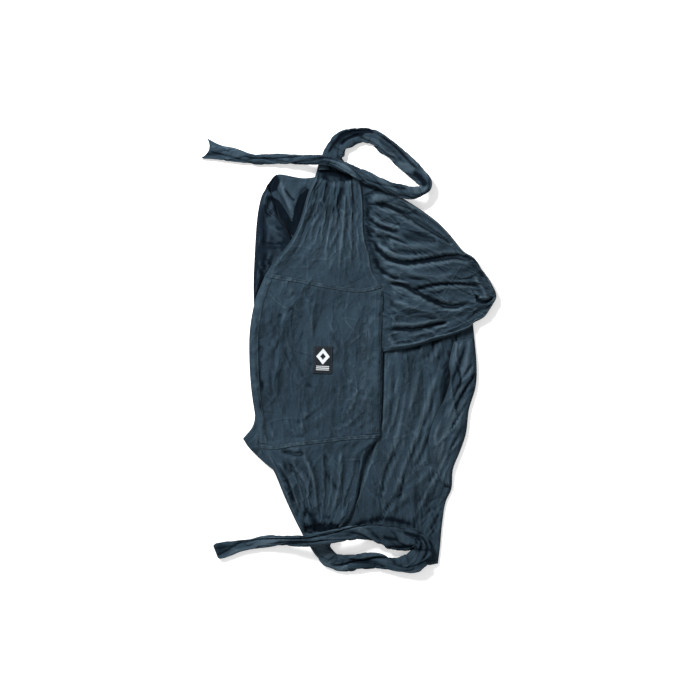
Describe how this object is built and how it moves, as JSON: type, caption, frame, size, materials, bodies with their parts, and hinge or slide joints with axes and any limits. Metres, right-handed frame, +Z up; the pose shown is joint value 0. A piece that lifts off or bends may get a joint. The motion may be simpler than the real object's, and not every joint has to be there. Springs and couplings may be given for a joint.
{
  "type": "fabric baby carrier",
  "caption": "Soft jersey baby carrier laid flat: a long cloth loop and a gathered short loop, with a pocketed tie sash lying across them.",
  "frame": {"origin": "middle of the floor rectangle that the laid-out carrier covers, on the face it rests on", "axes": "+Y along the sash towards its upper tie, +X towards the short gathered loop, +Z up from the floor"},
  "size_m": [0.588, 0.8906, 0.0359],
  "materials": {
    "jersey": "matte washed cotton jersey",
    "jersey_inside": "matte washed cotton jersey, inner face",
    "hem": "matte washed cotton jersey, turned hem",
    "thread": "polyester sewing thread",
    "woven_label": "damask woven label"
  },
  "bodies": {
    "carrier": {"long_loop_back": "jersey_inside", "long_loop_front": "jersey", "long_loop_end_hem": "hem", "long_loop_side_fold": "jersey", "left_end_fold": "jersey", "vee_panel": "jersey_inside", "ladder_stitches": "thread", "joining_band": "jersey", "short_loop_back": "jersey_inside", "short_loop_front": "jersey", "short_loop_hem": "hem", "short_loop_hem_thread": "thread"},
    "sash": {"sash_upper_panel": "jersey", "sash_lower_panel": "jersey", "pocket_back": "jersey_inside", "pocket_front": "jersey", "pocket_top_seam": "hem", "pocket_bottom_seam": "hem", "side_hem_left": "hem", "side_band_right": "hem", "seam_threads": "thread", "side_threads": "thread", "bar_tacks": "thread", "label": "woven_label", "label_threads": "thread", "upper_tie_band": "jersey", "upper_tie_return": "jersey", "lower_tie_band": "jersey", "lower_tie_return": "jersey"},
    "upper_tail": {"upper_tie_tail": "jersey", "upper_tie_end_hem": "hem"},
    "lower_tail": {"lower_tie_tail": "jersey", "lower_tie_end_hem": "hem"}
  },
  "joints": [
    {"name": "sash_lift", "type": "slide", "parent": "carrier", "child": "sash", "axis": [0, 0, 1], "range_m": [0, 0.25]},
    {"name": "upper_tail_swing", "type": "hinge", "parent": "sash", "child": "upper_tail", "pos_m": [-0.045, 0.376, 0], "axis": [0, 0, -1], "range_deg": [0, 60]},
    {"name": "lower_tail_swing", "type": "hinge", "parent": "sash", "child": "lower_tail", "pos_m": [-0.087, -0.379, 0], "axis": [0, 0, 1], "range_deg": [0, 60]}
  ]
}
